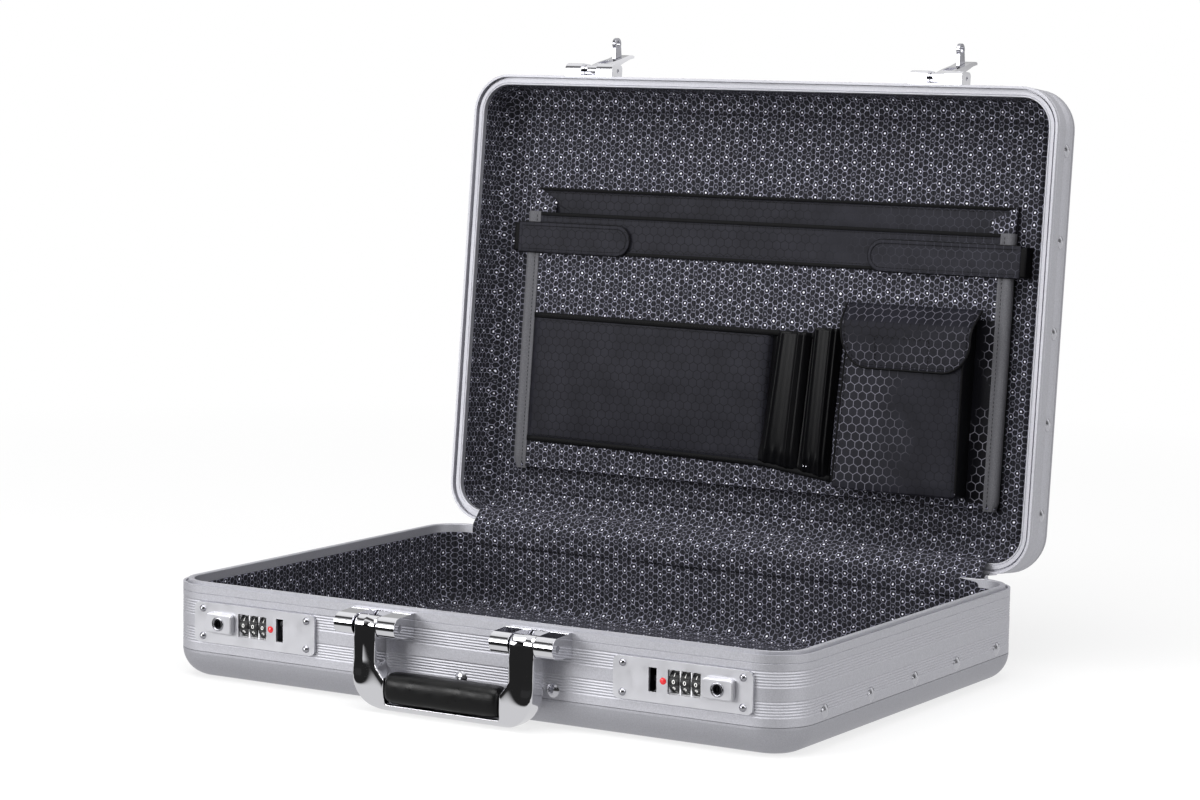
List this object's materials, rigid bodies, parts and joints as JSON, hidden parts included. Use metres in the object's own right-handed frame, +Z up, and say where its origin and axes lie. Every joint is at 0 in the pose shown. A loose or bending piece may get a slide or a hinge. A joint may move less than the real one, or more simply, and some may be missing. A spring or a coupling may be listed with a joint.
{
  "type": "laptop attache case",
  "caption": "Ribbed aluminium attache case, lid open: lined base and lid, lid organiser with pockets, phone pouch and straps, swinging handle, number locks and lever hasps.",
  "frame": {"origin": "on the surface the case stands on, under the middle of the base", "axes": "+X to the case's right seen from the handle side, +Y to the back, -Y the handle side, +Z up"},
  "size_m": [0.453, 0.4353, 0.4069],
  "materials": {
    "anodised": "satin anodised",
    "sheet": "satin anodised",
    "bright": "polished",
    "steel": "plain",
    "lining": "printed cloth",
    "leatherette": "embossed",
    "vinyl": "grey, sewn",
    "band": "smooth satin",
    "grip": "fine grain",
    "wheel": "gloss with white numbers",
    "housing": "gloss",
    "signal": "gloss"
  },
  "bodies": {
    "base": {"base_frame": "anodised", "base_tray": "sheet", "base_lining": "lining", "base_rivets": "bright", "base_hinge_leaf": "steel", "hinge_pin": "steel", "hinge_cover": "lining", "left_handle_bracket": "bright", "right_handle_bracket": "bright", "handle_pins": "bright", "handle_screws": "steel", "left_lock_plate": "bright", "left_lock_housing": "housing", "left_dial_shaft": "steel", "right_lock_plate": "bright", "right_lock_housing": "housing", "right_dial_shaft": "steel", "lock_rivets": "bright", "lock_indicators": "signal"},
    "lid": {"lid_frame": "anodised", "lid_tray": "sheet", "lid_lining": "lining", "lid_rivets": "bright", "lid_hinge_leaf": "steel", "left_hasp_bracket": "bright", "right_hasp_bracket": "bright", "left_hasp_pin": "steel", "right_hasp_pin": "steel", "hasp_rivets": "steel", "organiser_back": "leatherette", "organiser_front": "leatherette", "organiser_band": "band", "organiser_bindings": "vinyl", "strap_anchors": "band", "long_pocket": "leatherette", "pen_sleeves": "band", "phone_pouch": "leatherette"},
    "handle": {"handle_frame": "bright", "handle_grip": "grip"},
    "left_strap": {"left_strap": "leatherette"},
    "right_strap": {"right_strap": "leatherette"},
    "pouch_flap": {"pouch_flap": "leatherette"},
    "left_button": {"left_button": "bright", "left_catch": "steel"},
    "left_key": {"left_key_plug": "steel"},
    "left_dial_1": {"left_dial_1": "wheel"},
    "left_dial_2": {"left_dial_2": "wheel"},
    "left_dial_3": {"left_dial_3": "wheel"},
    "left_hasp": {"left_hasp_lever": "bright", "left_hasp_hook": "steel"},
    "right_button": {"right_button": "bright", "right_catch": "steel"},
    "right_key": {"right_key_plug": "steel"},
    "right_dial_1": {"right_dial_1": "wheel"},
    "right_dial_2": {"right_dial_2": "wheel"},
    "right_dial_3": {"right_dial_3": "wheel"},
    "right_hasp": {"right_hasp_lever": "bright", "right_hasp_hook": "steel"}
  },
  "joints": [
    {"name": "lid_hinge", "type": "hinge", "parent": "base", "child": "lid", "pos_m": [0, 0.1625, 0.06], "axis": [1, 0, 0], "range_deg": [0, 95.5], "deforming": ["hinge_cover"]},
    {"name": "handle_swing", "type": "hinge", "parent": "base", "child": "handle", "pos_m": [0, -0.175, 0.052], "axis": [-1, 0, 0], "range_deg": [-5, 150]},
    {"name": "left_button_slide", "type": "slide", "parent": "base", "child": "left_button", "axis": [-1, 0, 0], "range_m": [0, 0.004], "stiffness_N_per_m": 300, "springref_m": -0.004},
    {"name": "left_key_turn", "type": "hinge", "parent": "left_button", "child": "left_key", "pos_m": [-0.179, -0.163, 0.0382], "axis": [0, 1, 0], "range_deg": [0, 90]},
    {"name": "left_dial_1_turn", "type": "hinge", "parent": "base", "child": "left_dial_1", "pos_m": [-0.1477, -0.1538, 0.0382], "axis": [1, 0, 0], "continuous": true},
    {"name": "left_dial_2_turn", "type": "hinge", "parent": "base", "child": "left_dial_2", "pos_m": [-0.1551, -0.1538, 0.0382], "axis": [1, 0, 0], "continuous": true},
    {"name": "left_dial_3_turn", "type": "hinge", "parent": "base", "child": "left_dial_3", "pos_m": [-0.1625, -0.1538, 0.0382], "axis": [1, 0, 0], "continuous": true},
    {"name": "left_hasp_swing", "type": "hinge", "parent": "lid", "child": "left_hasp", "pos_m": [-0.134, 0.20574, 0.38385], "axis": [1, 0, 0], "range_deg": [0, 159]},
    {"name": "right_button_slide", "type": "slide", "parent": "base", "child": "right_button", "axis": [1, 0, 0], "range_m": [0, 0.004], "stiffness_N_per_m": 300, "springref_m": -0.004},
    {"name": "right_key_turn", "type": "hinge", "parent": "right_button", "child": "right_key", "pos_m": [0.179, -0.163, 0.0382], "axis": [0, 1, 0], "range_deg": [0, 90]},
    {"name": "right_dial_1_turn", "type": "hinge", "parent": "base", "child": "right_dial_1", "pos_m": [0.1477, -0.1538, 0.0382], "axis": [1, 0, 0], "continuous": true},
    {"name": "right_dial_2_turn", "type": "hinge", "parent": "base", "child": "right_dial_2", "pos_m": [0.1551, -0.1538, 0.0382], "axis": [1, 0, 0], "continuous": true},
    {"name": "right_dial_3_turn", "type": "hinge", "parent": "base", "child": "right_dial_3", "pos_m": [0.1625, -0.1538, 0.0382], "axis": [1, 0, 0], "continuous": true},
    {"name": "right_hasp_swing", "type": "hinge", "parent": "lid", "child": "right_hasp", "pos_m": [0.134, 0.20574, 0.38385], "axis": [1, 0, 0], "range_deg": [0, 159]},
    {"name": "left_strap_lift", "type": "hinge", "parent": "lid", "child": "left_strap", "pos_m": [-0.1952, 0.2061, 0.26451], "axis": [0, -0.0958, -0.9954], "range_deg": [0, 120], "deforming": ["left_strap"]},
    {"name": "right_strap_lift", "type": "hinge", "parent": "lid", "child": "right_strap", "pos_m": [0.1952, 0.2061, 0.26451], "axis": [0, 0.0958, 0.9954], "range_deg": [0, 120], "deforming": ["right_strap"]},
    {"name": "pouch_flap_lift", "type": "hinge", "parent": "lid", "child": "pouch_flap", "pos_m": [0.1185, 0.20432, 0.23349], "axis": [-1, 0, 0], "range_deg": [0, 75]}
  ]
}
